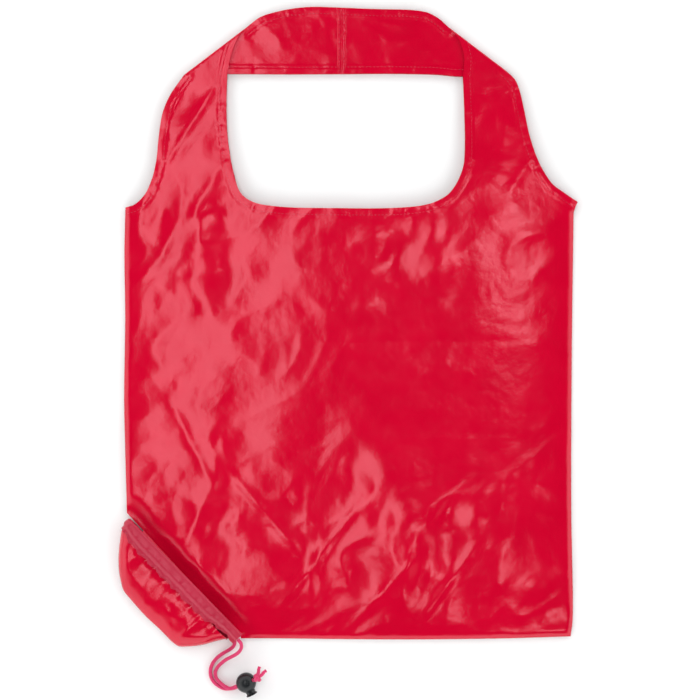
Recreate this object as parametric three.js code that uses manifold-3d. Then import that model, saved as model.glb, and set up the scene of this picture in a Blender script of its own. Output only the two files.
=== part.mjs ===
// A foldable tote bag lying flat: two sewn cloth panels with a handle loop each, and a small
// drawstring pouch over one bottom corner, closed by a cord with a spring-loaded ball lock.
// Millimetres, +Z up. The bag lies on Z = 0 with its handles towards +Y.
import * as THREE from 'three';
import { mergeVertices } from 'three/addons/utils/BufferGeometryUtils.js';
import Module from 'manifold-3d';

const wasm = await Module();
wasm.setup();

// ---------------------------------------------------------------- driving dimensions
const CLOTH = 0.8; // thickness of one layer of cloth with the air that it traps
const GAP = 0.4; // between pieces that touch or turn past each other

// bag body
const BODY_WIDTH = 376;
const BODY_BOTTOM = -262;
const SHOULDER_FLARE = 6.05; // how far a shoulder's tip stands out past its side seam
const SHOULDER_Y = 101;
const BELLY = 6.6; // from the resting surface to the underside of the front panel
const EDGE_FLATNESS = 8; // power that keeps the belly flat up to the seams
const SEAM_WIDTH = 7;
const SEAM_CLOTH = 0.6;
const NECK_Y = 99.5; // lowest point of the neckline

// handles
const HINGE_Y = 106; // where both straps fold over the body
const OPENING_HINGE_Y = 140; // where the front handle opens away from the back one
const OPENING_WIDTH = 198; // between the inner edges of the straps
const NECK_CORNER_X = 45; // half axes of the neckline's round corners
const NECK_CORNER_Y = 50;
const BAND_LOW = 212;
const BAND_WIDTH = 57.7;
const BAND_SEAM_X = -5;
const BAND_SEAM_WIDTH = 9;
const FOLD_WIDTH = 49.5; // the slanting fold where a strap turns into the band
const FOLD_HEIGHT = 38;
const FOLD_INSET = 11.5; // how far the fold's inner end lies inside the strap's edge
const FOLD_STRIP = 1.6;
const TIP_REACH = 10; // from a shoulder's tip to the first bend of the strap's outer edge
const TIP_RISE = 5;
const STRAP_BULGE = [[33, -93], [22, -68], [17, -42], [10, -18]]; // outer edge, from the fold's outer end

// pouch
const MOUTH_INSET = 5; // from the left side to the upper end of the pouch mouth
const MOUTH_RISE = 102; // from the bottom seam to the same end
const MOUTH_TURN = 47; // degrees that the mouth slants down from +X
const MOUTH_WIDTH = 136;
const POUCH_DEPTH = 47;
const POUCH_ROUND = 2.4; // powers that round the pouch's corners
const POUCH_FULL = 0.6;
const POUCH_BELLY = 10.4;
const PUFF = 8; // power that keeps the pouch full up to its edge
const CASING_WIDTH = 15;
const CASING_WALL = 0.5;
const MOUTH_OPEN = 5.4; // between the two runs of the casing
const BACK_RUN_SHORT = 5; // how much earlier the back run of the casing ends
const TUCK_DEPTH = 38;
const PINCH = 12; // how far from the pouch mouth the body is pinched flat

// drawcord
const CORD = 3;
const CORD_ROOM = 0.25;
const CORD_SIDES = 8;
const CORD_IN_FRONT = 2.5; // distance of each run from the rim of the mouth
const CORD_IN_BACK = 6;
const STRAND_ROOM = 0.1; // between the two strands where they lie side by side

// ball lock
const BALL = 16.9;
const BALL_CENTRE = [-84.9, -298.4];
const BORE_TURN = 26; // degrees of the bore from +X, seen from above
const BORE_TILT = 22; // degrees of the bore above the resting surface
const BORE_ROOM = 0.6;
const PLUNGER = 8.4;
const PLUNGER_ROOM = 0.3;
const PLUNGER_WALL = 1.6; // between the strands' hole and the spring
const BUTTON_OUT = 2.85; // from the ball to the end of the button
const PRESS = 2.5;
const FLANGE = 9.6;
const FLANGE_THICK = 1;
const SPRING = 4;
const SPRING_WIRE = 0.5;
const SPRING_TURNS = 3;
const BALL_WALL = 1.15; // behind the spring
const KNOT = [6.2, 8.4, 8.2]; // along the bore, across it and along the plunger's axis
const CORD_END = 2.8;
const EXIT_LEAD = 2; // straight out of the casing before the first bend

// ---------------------------------------------------------------- worked-out sizes
const SHOULDER_X = BODY_WIDTH / 2 + SHOULDER_FLARE;
const BAND_TOP = BAND_LOW + BAND_WIDTH;
const FOLD_INNER = [OPENING_WIDTH / 2 - FOLD_INSET, BAND_LOW + FOLD_HEIGHT];
const FOLD_OUTER = [FOLD_INNER[0] + FOLD_WIDTH, BAND_LOW];
const MOUTH_CORNER = [-BODY_WIDTH / 2 + MOUTH_INSET, BODY_BOTTOM + MOUTH_RISE];
const STRAND_APART = CORD + STRAND_ROOM;
const STRAND_REACH = (CORD + BORE_ROOM) / 2; // half of the bore along the plunger's axis
const PLUNGER_INNER = -STRAND_REACH - PLUNGER_WALL; // from the centre of the ball
const PLUNGER_END = BALL / 2 + BUTTON_OUT;
const SPRING_SEAT = -BALL / 2 + BALL_WALL;

// ---------------------------------------------------------------- solids
const rad = THREE.MathUtils.degToRad;
const smooth = THREE.MathUtils.smoothstep;

/** The closed solid of a three.js geometry. */
function solid(geometry) {
  const bare = geometry.index ? geometry.toNonIndexed() : geometry.clone();
  bare.deleteAttribute('normal');
  bare.deleteAttribute('uv');
  const merged = mergeVertices(bare, 1e-4);
  return new wasm.Manifold(new wasm.Mesh({
    numProp: 3,
    vertProperties: new Float32Array(merged.attributes.position.array),
    triVerts: new Uint32Array(merged.index.array),
  }));
}

/** The three.js geometry of a solid. */
function geometry(body) {
  const mesh = body.getMesh();
  const made = new THREE.BufferGeometry();
  made.setAttribute('position', new THREE.BufferAttribute(mesh.vertProperties, 3));
  made.setIndex(new THREE.BufferAttribute(mesh.triVerts, 1));
  made.computeVertexNormals();
  return made;
}

/** An outline of [x, y] points raised from one height to another. */
function prism(outline, low, high) {
  const shape = new THREE.Shape(outline.map(([x, y]) => new THREE.Vector2(x, y)));
  const made = new THREE.ExtrudeGeometry(shape, { depth: high - low, bevelEnabled: false });
  made.translate(0, 0, low);
  return solid(made);
}

/** A box from its lowest to its highest corner. */
function block([x0, y0, z0], [x1, y1, z1]) {
  const made = new THREE.BoxGeometry(x1 - x0, y1 - y0, z1 - z0);
  made.translate((x0 + x1) / 2, (y0 + y1) / 2, (z0 + z1) / 2);
  return solid(made);
}

/** Cloth inside an outline whose underside is at height underside(x, y), in cells of a given size. */
function cloth(outline, underside, cell) {
  const xs = outline.map(([x]) => x);
  const ys = outline.map(([, y]) => y);
  const [x0, x1] = [Math.min(...xs) - 1, Math.max(...xs) + 1];
  const [y0, y1] = [Math.min(...ys) - 1, Math.max(...ys) + 1];
  const across = Math.ceil((x1 - x0) / cell);
  const along = Math.ceil((y1 - y0) / cell);
  const slab = new THREE.BoxGeometry(x1 - x0, y1 - y0, 1, across, along, 1);
  slab.translate((x0 + x1) / 2, (y0 + y1) / 2, 0);
  const at = slab.attributes.position;
  for (let i = 0; i < at.count; i += 1) {
    const low = underside(at.getX(i), at.getY(i));
    at.setZ(i, at.getZ(i) > 0 ? low + CLOTH : low);
  }
  return solid(slab).intersect(prism(outline, -BALL, 2 * BALL));
}

/** A smooth curve with a step at each of its points, so straight stretches take few steps. */
class Route extends THREE.CatmullRomCurve3 {
  constructor(points) {
    super(points, false, 'centripetal');
    this.stops = points.length - 1;
  }

  getUtoTmapping(u) {
    return u;
  }
}

/** A section swept along a route. The section's x is the route's thickness direction. */
function swept(section, route, stepsEach = 1) {
  return new THREE.ExtrudeGeometry(section, {
    steps: route.stops * stepsEach,
    extrudePath: route,
    bevelEnabled: false,
  });
}

/** A round section of a given diameter. */
function roundSection(diameter, sides) {
  const corners = [];
  for (let i = 0; i < sides; i += 1) {
    const turn = (2 * Math.PI * (i + 0.5)) / sides;
    corners.push(new THREE.Vector2(Math.cos(turn), Math.sin(turn)).multiplyScalar(diameter / 2));
  }
  return new THREE.Shape(corners);
}

/** A cylinder on the Z axis between two heights. */
function cylinder(diameter, low, high, sides = 24) {
  const made = new THREE.CylinderGeometry(diameter / 2, diameter / 2, high - low, sides);
  made.rotateX(Math.PI / 2);
  made.translate(0, 0, (low + high) / 2);
  return solid(made);
}

// ---------------------------------------------------------------- materials
const nylon = new THREE.MeshStandardMaterial({ color: 0xd4062f, roughness: 0.35, metalness: 0 });
const casingNylon = new THREE.MeshStandardMaterial({ color: 0xb0122f, roughness: 0.4, metalness: 0 });
const cordBraid = new THREE.MeshStandardMaterial({ color: 0xd42a5c, roughness: 0.8, metalness: 0 });
const lockPlastic = new THREE.MeshStandardMaterial({ color: 0x22262a, roughness: 0.4, metalness: 0 });
const springSteel = new THREE.MeshStandardMaterial({ color: 0xb8bcc0, roughness: 0.3, metalness: 1 });

/** A named mesh, added to a group. */
function add(group, name, shape, material) {
  const mesh = new THREE.Mesh(shape.getMesh ? geometry(shape) : shape, material);
  mesh.name = name;
  group.add(mesh);
}

// ---------------------------------------------------------------- outlines
const mirrored = (points) => points.map(([x, y]) => [-x, y]).reverse();

/** The round lower corner of the opening, from the strap's inner edge down to the neckline. */
function neckCorner(steps = 10) {
  const centre = [OPENING_WIDTH / 2 - NECK_CORNER_X, NECK_Y + NECK_CORNER_Y];
  const points = [];
  for (let i = 0; i <= steps; i += 1) {
    const turn = (Math.PI / 2) * (i / steps);
    points.push([
      centre[0] + NECK_CORNER_X * Math.cos(turn),
      centre[1] - NECK_CORNER_Y * Math.sin(turn),
    ]);
  }
  return points;
}

/** The strap's outer edge on the right, from the shoulder's tip to the slanting fold. */
function strapOuterEdge() {
  const tip = [SHOULDER_X, SHOULDER_Y];
  const [foldX, foldY] = FOLD_OUTER;
  const points = [
    tip,
    [tip[0] - TIP_REACH, tip[1] + TIP_RISE],
    ...STRAP_BULGE.map(([x, y]) => [foldX + x, foldY + y]),
    [foldX, foldY],
  ];
  const curve = new THREE.SplineCurve(points.map(([x, y]) => new THREE.Vector2(x, y)));
  return curve.getPoints(18).map(({ x, y }) => [x, y]);
}

/** The part of an outline on one side of a horizontal line, with the line's own ends. */
function crossing(points, y) {
  for (let i = 1; i < points.length; i += 1) {
    const [a, b] = [points[i - 1], points[i]];
    if ((a[1] - y) * (b[1] - y) <= 0 && a[1] !== b[1]) {
      return [a[0] + ((b[0] - a[0]) * (y - a[1])) / (b[1] - a[1]), y];
    }
  }
  return points[0];
}

/** The right half of the body's top: shoulder, hinge line and neckline, from outside inwards. */
function bodyTopRight() {
  const top = HINGE_Y - GAP / 2;
  const outer = strapOuterEdge();
  const neck = neckCorner();
  return [
    [BODY_WIDTH / 2, SHOULDER_Y - 6],
    ...outer.filter(([, y]) => y < top),
    crossing(outer, top),
    crossing(neck, top),
    ...neck.filter(([, y]) => y < top),
  ];
}

const mouthAlong = new THREE.Vector2(Math.cos(rad(MOUTH_TURN)), -Math.sin(rad(MOUTH_TURN)));
const mouthOut = new THREE.Vector2(-Math.sin(rad(MOUTH_TURN)), -Math.cos(rad(MOUTH_TURN)));
const mouthStart = new THREE.Vector2(...MOUTH_CORNER);

/** How far a point of the body lies from the pouch mouth. */
function fromMouth(x, y) {
  return -new THREE.Vector2(x, y).sub(mouthStart).dot(mouthOut);
}

/** The body's outline, counter-clockwise, cut off along the pouch mouth. */
function bodyOutline() {
  const side = -BODY_WIDTH / 2;
  const rim = mouthStart.clone().addScaledVector(mouthOut, -GAP);
  const toSide = (side - rim.x) / mouthAlong.x;
  const toBottom = (BODY_BOTTOM - rim.y) / mouthAlong.y;
  const right = bodyTopRight();
  return [
    [rim.x + mouthAlong.x * toBottom, BODY_BOTTOM],
    [BODY_WIDTH / 2, BODY_BOTTOM],
    ...right,
    ...mirrored(right),
    [side, rim.y + mouthAlong.y * toSide],
  ];
}

/** The foot of a strap on the right, between the two lines where the front strap folds. */
function strapFootOutline() {
  const [low, high] = [HINGE_Y + GAP / 2, OPENING_HINGE_Y - GAP / 2];
  const outer = strapOuterEdge();
  const neck = neckCorner();
  const between = ([, y]) => y > low && y < high;
  return [
    crossing(neck, low),
    crossing(outer, low),
    ...outer.filter(between),
    crossing(outer, high),
    crossing(neck, high),
    ...neck.filter(between),
  ];
}

/** One strap on the right, from a line across it to its slanting fold. */
function strapOutline(base) {
  const outer = strapOuterEdge();
  const neck = neckCorner();
  const inner = OPENING_WIDTH / 2;
  return [
    crossing(neck, base),
    crossing(outer, base),
    ...outer.filter(([, y]) => y > base),
    FOLD_INNER,
    [FOLD_INNER[0] + 5, FOLD_INNER[1] - 9],
    [inner - 2, BAND_LOW + 16],
    [inner + 1.5, BAND_LOW],
    [inner + 1, BAND_LOW - 15],
    ...neck.filter(([, y]) => y > base),
  ];
}

/** Half of the band on the right, from the middle seam to the slanting fold. */
function bandOutline(seamX) {
  const top = new THREE.SplineCurve([
    new THREE.Vector2(...FOLD_INNER),
    new THREE.Vector2(FOLD_INNER[0] - 14, BAND_TOP - 8),
    new THREE.Vector2(FOLD_INNER[0] - 34, BAND_TOP - 3),
    new THREE.Vector2(seamX + 25, BAND_TOP),
  ]);
  return [
    [seamX, BAND_LOW],
    FOLD_OUTER,
    ...top.getPoints(9).map(({ x, y }) => [x, y]),
    [seamX, BAND_TOP],
  ];
}

/** The strip along the slanting fold that joins a strap to the band under it. */
function foldOutline() {
  const outer = new THREE.Vector2(...FOLD_OUTER);
  const inner = new THREE.Vector2(...FOLD_INNER);
  const along = inner.clone().sub(outer).normalize();
  const inward = new THREE.Vector2(-along.y, along.x);
  const start = outer.clone().addScaledVector(along, FOLD_STRIP);
  const end = inner.clone().addScaledVector(along, -FOLD_STRIP);
  const shift = inward.multiplyScalar(FOLD_STRIP);
  return [start, end, end.clone().add(shift), start.clone().add(shift)].map(({ x, y }) => [x, y]);
}

// ---------------------------------------------------------------- body
const SEAM_LOW = CLOTH + GAP;
const FRONT_EDGE = SEAM_LOW + SEAM_CLOTH + GAP; // underside of the front panel over the seams

/** Height of the front panel's underside: flat over the belly, down at the seams and the pouch. */
function frontHeight(x, y) {
  const across = Math.min(1, Math.abs(x) / (BODY_WIDTH / 2)) ** EDGE_FLATNESS;
  const down = Math.min(1, Math.max(0, (HINGE_Y - y) / (HINGE_Y - BODY_BOTTOM))) ** EDGE_FLATNESS;
  const pinch = 1 - Math.exp(-Math.max(0, fromMouth(x, y)) / PINCH);
  return FRONT_EDGE + (BELLY - FRONT_EDGE) * (1 - across) * (1 - down) * pinch;
}

function makeBody(group) {
  const outline = bodyOutline();
  const inside = prism(outline, -1, BELLY);
  const half = BODY_WIDTH / 2;
  const seamTop = SEAM_LOW + SEAM_CLOTH;
  const seamEnd = SHOULDER_Y - 8;
  add(group, 'back_panel', prism(outline, 0, CLOTH), nylon);
  add(group, 'front_panel', cloth(outline, frontHeight, 17), nylon);
  for (const [name, from, to] of [
    ['side_seam_left', -half, -half + SEAM_WIDTH],
    ['side_seam_right', half - SEAM_WIDTH, half],
  ]) {
    const low = BODY_BOTTOM + SEAM_WIDTH + GAP;
    add(group, name, block([from, low, SEAM_LOW], [to, seamEnd, seamTop]).intersect(inside), nylon);
  }
  const bottom = block([-half, BODY_BOTTOM, SEAM_LOW], [half, BODY_BOTTOM + SEAM_WIDTH, seamTop]);
  add(group, 'bottom_seam', bottom.intersect(inside), nylon);
}

// ---------------------------------------------------------------- handles
/** One handle: two halves that meet at the middle seam. Its band lies under its straps. */
function makeHandle(group, prefix, base, bandLow, strapUnderside) {
  const strapTop = bandLow + 2 * CLOTH + GAP;
  for (const [side, sign] of [['left', -1], ['right', 1]]) {
    const place = (points) => (sign > 0 ? points : mirrored(points));
    const seamX = sign * BAND_SEAM_X + GAP / 2;
    const strap = cloth(place(strapOutline(base)), strapUnderside, 11);
    const band = prism(place(bandOutline(seamX)), bandLow, bandLow + CLOTH);
    const fold = prism(place(foldOutline()), bandLow, strapTop);
    add(group, `${prefix}_handle_${side}`, strap.add(band).add(fold), nylon);
  }
  const low = bandLow + CLOTH + GAP;
  const seam = block(
    [BAND_SEAM_X - BAND_SEAM_WIDTH / 2, BAND_LOW, low],
    [BAND_SEAM_X + BAND_SEAM_WIDTH / 2, BAND_TOP, low + SEAM_CLOTH],
  );
  add(group, `${prefix}_handle_seam`, seam, nylon);
}

/** How far a strap has risen from its base to its fold, from 0 to 1. */
const strapRise = (y) => smooth(y, HINGE_Y + 8, BAND_LOW - 6);

const BACK_BAND = 0;
const BACK_STRAP = BACK_BAND + CLOTH + GAP;
const FRONT_BAND = BACK_STRAP + CLOTH + GAP;
const FRONT_STRAP = FRONT_BAND + CLOTH + GAP;

/** The back strap lies on the resting surface and climbs over its own band. */
function backStrapHeight(x, y) {
  return BACK_STRAP * strapRise(y);
}

/** The front strap leaves the front panel at its height and comes down onto the stack of layers. */
function frontStrapHeight(x, y) {
  const base = frontHeight(x, HINGE_Y);
  return base + (FRONT_STRAP - base) * strapRise(y);
}

// ---------------------------------------------------------------- pouch
// Its own frame: x along the mouth from its upper end, y back towards the bag, so cloth is at y < 0.
const CASING_HIGH = CORD + 2 * CORD_ROOM + 2 * CASING_WALL;
const BACK_RUN_Z = CASING_HIGH / 2;
const FRONT_RUN_Z = BACK_RUN_Z + CASING_HIGH + MOUTH_OPEN;
const BACK_RUN_END = MOUTH_WIDTH - BACK_RUN_SHORT;
const POUCH_EDGE = CLOTH + GAP;

/** 0 in the middle of the mouth, 1 on the pouch's edge. */
function pouchShare(x, depth) {
  const across = Math.abs((2 * x) / MOUTH_WIDTH - 1) ** POUCH_ROUND;
  return across + Math.max(0, depth / POUCH_DEPTH) ** (1 / POUCH_FULL);
}

/** The pouch's outline below its casing. */
function pouchOutline(steps = 40) {
  const start = CASING_WIDTH + GAP;
  const edge = [];
  for (let i = 0; i <= steps; i += 1) {
    const share = -Math.cos((Math.PI * i) / steps);
    const depth = POUCH_DEPTH * (1 - Math.abs(share) ** POUCH_ROUND) ** POUCH_FULL;
    edge.push([((share + 1) * MOUTH_WIDTH) / 2, -depth]);
  }
  const kept = edge.filter(([, y]) => y < -start);
  return [crossing(edge, -start), ...kept, crossing([...edge].reverse(), -start)];
}

function pouchFrontHeight(x, y) {
  const share = Math.min(1, pouchShare(x, -y));
  return POUCH_EDGE + (POUCH_BELLY - POUCH_EDGE) * (1 - share ** PUFF);
}

/** The bag's corner comes in between the two runs of the casing and lies on the pouch's back. */
function tuckHeight(x, y) {
  const down = smooth(-y, CASING_WIDTH + 2, TUCK_DEPTH - 8);
  return CASING_HIGH + GAP + (POUCH_EDGE - CASING_HIGH - GAP) * down;
}

/** A route round the mouth: front run, turn at the upper end, back run. */
function mouthRoute(frontY, backY) {
  const radius = (FRONT_RUN_Z - BACK_RUN_Z) / 2;
  const turnX = radius + CASING_HIGH / 2;
  const middle = (FRONT_RUN_Z + BACK_RUN_Z) / 2;
  const lerp = THREE.MathUtils.lerp;
  const points = [];
  for (let i = 0; i <= 5; i += 1) {
    points.push(new THREE.Vector3(lerp(MOUTH_WIDTH, turnX, i / 5), frontY, FRONT_RUN_Z));
  }
  for (let i = 1; i < 10; i += 1) {
    const turn = (Math.PI * i) / 10;
    points.push(new THREE.Vector3(
      turnX - radius * Math.sin(turn),
      lerp(frontY, backY, i / 10),
      middle + radius * Math.cos(turn),
    ));
  }
  for (let i = 0; i <= 5; i += 1) {
    points.push(new THREE.Vector3(lerp(turnX, BACK_RUN_END, i / 5), backY, BACK_RUN_Z));
  }
  return new Route(points);
}

/** The hollow section of the casing, upright in x and lying in y. */
function casingSection() {
  const [h, w] = [CASING_HIGH / 2, CASING_WIDTH / 2];
  const rectangle = (a, b) => [[-a, -b], [a, -b], [a, b], [-a, b]].map((p) => new THREE.Vector2(...p));
  const section = new THREE.Shape(rectangle(h, w));
  section.holes.push(new THREE.Path(rectangle(h - CASING_WALL, w - CASING_WALL)));
  return section;
}

function makePouch(group) {
  const middle = -CASING_WIDTH / 2;
  const outline = pouchOutline();
  const corner = [
    [12, -GAP],
    [38, -TUCK_DEPTH],
    [MOUTH_WIDTH - 38, -TUCK_DEPTH],
    [MOUTH_WIDTH - 6, -GAP],
  ];
  add(group, 'pouch_back', prism(outline, 0, CLOTH), nylon);
  add(group, 'pouch_front', cloth(outline, pouchFrontHeight, 5), nylon);
  add(group, 'tucked_corner', cloth(corner, tuckHeight, 6), nylon);
  const casing = swept(casingSection(), mouthRoute(middle, middle));
  add(group, 'pouch_casing', solid(casing), casingNylon);
  const loop = swept(roundSection(CORD, CORD_SIDES), mouthRoute(-CORD_IN_FRONT, -CORD_IN_BACK));
  add(group, 'drawcord_in_casing', solid(loop), cordBraid);
}

// ---------------------------------------------------------------- ball lock
// Its own frame: x along the cord's bore towards the knot, z along the plunger towards its button.
const bore = new THREE.Vector3(
  Math.cos(rad(BORE_TURN)) * Math.cos(rad(BORE_TILT)),
  Math.sin(rad(BORE_TURN)) * Math.cos(rad(BORE_TILT)),
  Math.sin(rad(BORE_TILT)),
);
const plungerAxis = new THREE.Vector3(Math.sin(rad(BORE_TURN)), -Math.cos(rad(BORE_TURN)), 0);
const across = new THREE.Vector3().crossVectors(plungerAxis, bore);
const ballCentre = new THREE.Vector3(...BALL_CENTRE, BALL / 2);
const lockFrame = new THREE.Matrix4().makeBasis(bore, across, plungerAxis).setPosition(ballCentre);
const KNOT_AT = BALL / 2 + KNOT[0] / 2 - 0.15;

/** A slot for both strands along the bore, between two places on the plunger's axis. */
function strandSlot(low, high) {
  const half = STRAND_APART / 2 + CORD / 2 + BORE_ROOM / 2;
  return block([-BALL, -half, low], [BALL, half, high]);
}

function makeLock(group) {
  const ball = solid(new THREE.SphereGeometry(BALL / 2, 32, 20));
  const cavity = cylinder(PLUNGER + 2 * PLUNGER_ROOM, PLUNGER_INNER - PRESS - PLUNGER_ROOM, BALL);
  const pocket = cylinder(SPRING + 2 * PLUNGER_ROOM, SPRING_SEAT, 0, 16);
  const slot = strandSlot(-STRAND_REACH, STRAND_REACH);
  const barrel = ball.subtract(cavity).subtract(pocket).subtract(slot);
  add(group, 'lock_barrel', barrel, lockPlastic);

  const stem = cylinder(PLUNGER, PLUNGER_INNER, PLUNGER_END);
  const flange = cylinder(FLANGE, PLUNGER_END - FLANGE_THICK, PLUNGER_END);
  const hole = strandSlot(-STRAND_REACH, STRAND_REACH + PRESS);
  add(group, 'lock_plunger', stem.subtract(hole).add(flange), lockPlastic);

  const points = [];
  const [low, high] = [SPRING_SEAT + GAP + SPRING_WIRE / 2, PLUNGER_INNER - GAP - SPRING_WIRE / 2];
  for (let i = 0; i <= SPRING_TURNS * 12; i += 1) {
    const turn = (2 * Math.PI * i) / 12;
    const radius = (SPRING - SPRING_WIRE) / 2;
    const height = low + ((high - low) * i) / (SPRING_TURNS * 12);
    points.push(new THREE.Vector3(radius * Math.cos(turn), radius * Math.sin(turn), height));
  }
  const wire = swept(roundSection(SPRING_WIRE, 6), new Route(points));
  add(group, 'lock_spring', solid(wire), springSteel);
}

// ---------------------------------------------------------------- free drawcord
/** A point of a strand on its straight way through the lock. */
function inLock(along, side) {
  return new THREE.Vector3(along, (side * STRAND_APART) / 2, 0).applyMatrix4(lockFrame);
}

/** A point in the pouch's frame, given in the bag's. */
function pouchPoint(x, depth, z) {
  const place = mouthStart.clone().addScaledVector(mouthAlong, x).addScaledVector(mouthOut, depth);
  return new THREE.Vector3(place.x, place.y, z);
}

const straightFrom = -BALL / 2 - 3.2; // the strands are straight from here on, so the lock can slide
const strandEnd = KNOT_AT - KNOT[0] / 2 - GAP;

const FRONT_STRAND = [
  [-89.0, -265.1, 11.7],
  [-88.8, -268.5, 10.8],
  [-90.2, -271.6, 9.6],
  [-93.2, -274.6, 7.9],
  [-97.4, -277.2, 5.9],
  [-102.0, -279.9, 4.1],
  [-106.1, -283.2, 2.7],
  [-109.6, -287.1, 1.9],
  [-111.4, -291.5, 1.6],
  [-110.5, -295.8, 1.8],
  [-107.5, -299.2, 2.6],
  [-103.7, -302.0, 3.7],
  [-99.5, -303.9, 4.8],
];
const BACK_STRAND = [
  [-94.9, -265.0, 2.1],
  [-95.6, -268.3, 1.9],
  [-97.9, -270.9, 1.7],
  [-101.8, -273.3, 1.6],
  [-106.2, -276.0, 1.6],
  [-110.5, -279.6, 1.6],
  [-113.9, -284.2, 1.6],
  [-115.4, -289.4, 1.6],
  [-114.9, -294.6, 1.6],
  [-112.4, -299.2, 1.6],
  [-108.3, -302.6, 1.6],
  [-103.4, -304.8, 1.6],
  [-98.6, -304.7, 1.7],
];

function makeDrawcord(group) {
  const section = roundSection(CORD, CORD_SIDES);
  for (const [name, listed, side, exit, depth, z] of [
    ['drawcord_tail_front', FRONT_STRAND, 1, MOUTH_WIDTH, CORD_IN_FRONT, FRONT_RUN_Z],
    ['drawcord_tail_back', BACK_STRAND, -1, BACK_RUN_END, CORD_IN_BACK, BACK_RUN_Z],
  ]) {
    const route = new Route([
      pouchPoint(exit + GAP, depth, z),
      pouchPoint(exit + GAP + EXIT_LEAD, depth, z),
      ...listed.map((point) => new THREE.Vector3(...point)),
      inLock(straightFrom, side),
      inLock(-BALL / 2, side),
      inLock(0, side),
      inLock(strandEnd, side),
    ]);
    add(group, name, solid(swept(section, route)), cordBraid);
  }

  const knot = new THREE.SphereGeometry(0.5, 16, 10);
  knot.scale(...KNOT);
  knot.translate(KNOT_AT, 0, 0);
  knot.applyMatrix4(lockFrame);
  add(group, 'drawcord_knot', solid(knot), cordBraid);

  const knotCentre = new THREE.Vector3(KNOT_AT, 0, 0).applyMatrix4(lockFrame);
  for (const [name, out] of [
    ['drawcord_end_left', new THREE.Vector3(0.2, 0.95, -0.22)],
    ['drawcord_end_right', new THREE.Vector3(0.76, 0.6, -0.26)],
  ]) {
    const start = KNOT[1] / 2 + GAP;
    const points = [0, 1, 2].map((i) => {
      const far = start + 2.3 * i;
      return knotCentre.clone().addScaledVector(out, far).add(new THREE.Vector3(0, 0, -0.15 * i * i));
    });
    add(group, name, solid(swept(roundSection(CORD_END, CORD_SIDES), new Route(points))), cordBraid);
  }
}

// ---------------------------------------------------------------- assembly
const bag = new THREE.Group();
makeBody(bag);
makeHandle(bag, 'back', HINGE_Y + GAP / 2, BACK_BAND, backStrapHeight);
makeHandle(bag, 'front', OPENING_HINGE_Y + GAP / 2, FRONT_BAND, frontStrapHeight);
for (const [name, place] of [['left', mirrored], ['right', (points) => points]]) {
  const foot = cloth(place(strapFootOutline()), frontStrapHeight, 11);
  add(bag, `front_strap_foot_${name}`, foot, nylon);
}

const pouch = new THREE.Group();
pouch.position.set(...MOUTH_CORNER, 0);
pouch.rotation.z = -rad(MOUTH_TURN);
makePouch(pouch);
bag.add(pouch);

const lock = new THREE.Group();
lock.position.copy(ballCentre);
lock.quaternion.setFromRotationMatrix(lockFrame);
makeLock(lock);
bag.add(lock);

makeDrawcord(bag);

export default bag;
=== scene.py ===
"""A foldable nylon tote bag, laid out flat with its stuff pouch, drawcord and ball lock.

Places and sizes are in millimetres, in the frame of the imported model, until a mesh is made.
"""

import math

import bpy
import numpy as np
from mathutils import Matrix, Vector, noise
from mathutils.geometry import delaunay_2d_cdt


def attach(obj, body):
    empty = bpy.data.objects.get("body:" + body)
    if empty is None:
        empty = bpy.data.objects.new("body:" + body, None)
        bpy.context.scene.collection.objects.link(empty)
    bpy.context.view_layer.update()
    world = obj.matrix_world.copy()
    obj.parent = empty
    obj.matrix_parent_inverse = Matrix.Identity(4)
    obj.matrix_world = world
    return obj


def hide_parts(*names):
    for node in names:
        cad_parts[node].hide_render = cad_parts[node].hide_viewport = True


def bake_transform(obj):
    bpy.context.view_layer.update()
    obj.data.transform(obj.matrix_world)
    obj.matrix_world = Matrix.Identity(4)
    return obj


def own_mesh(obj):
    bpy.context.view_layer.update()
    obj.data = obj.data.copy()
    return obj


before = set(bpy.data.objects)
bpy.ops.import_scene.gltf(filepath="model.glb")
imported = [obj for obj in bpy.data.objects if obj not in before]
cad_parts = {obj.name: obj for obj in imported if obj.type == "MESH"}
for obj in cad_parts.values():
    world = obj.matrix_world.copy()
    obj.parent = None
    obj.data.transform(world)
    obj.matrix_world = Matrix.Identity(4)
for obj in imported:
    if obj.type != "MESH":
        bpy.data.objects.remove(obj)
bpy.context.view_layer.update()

MM = 0.001
CLOTH = 0.25  # woven nylon, a little thicker than life so that its edge shows
HEM = 7.0  # width of the turned hems
HEM_LIFT = 0.36  # how far the folded layers of a hem stand proud
STITCH_IN = 5.6  # from a free edge to its row of stitches

# ---- camera
CAMERA_AT = (0.0021, -0.0197, 1.393)


def make_camera():
    data = bpy.data.cameras.new("camera")
    data.lens = 85
    data.sensor_width = 36
    camera = bpy.data.objects.new("camera", data)
    camera.location = CAMERA_AT
    bpy.context.scene.collection.objects.link(camera)
    bpy.context.scene.camera = camera


make_camera()


# ---- curves and distances
def smooth(value, low, high):
    share = np.clip((np.asarray(value, float) - low) / (high - low), 0, 1)
    return share * share * (3 - 2 * share)


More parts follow.
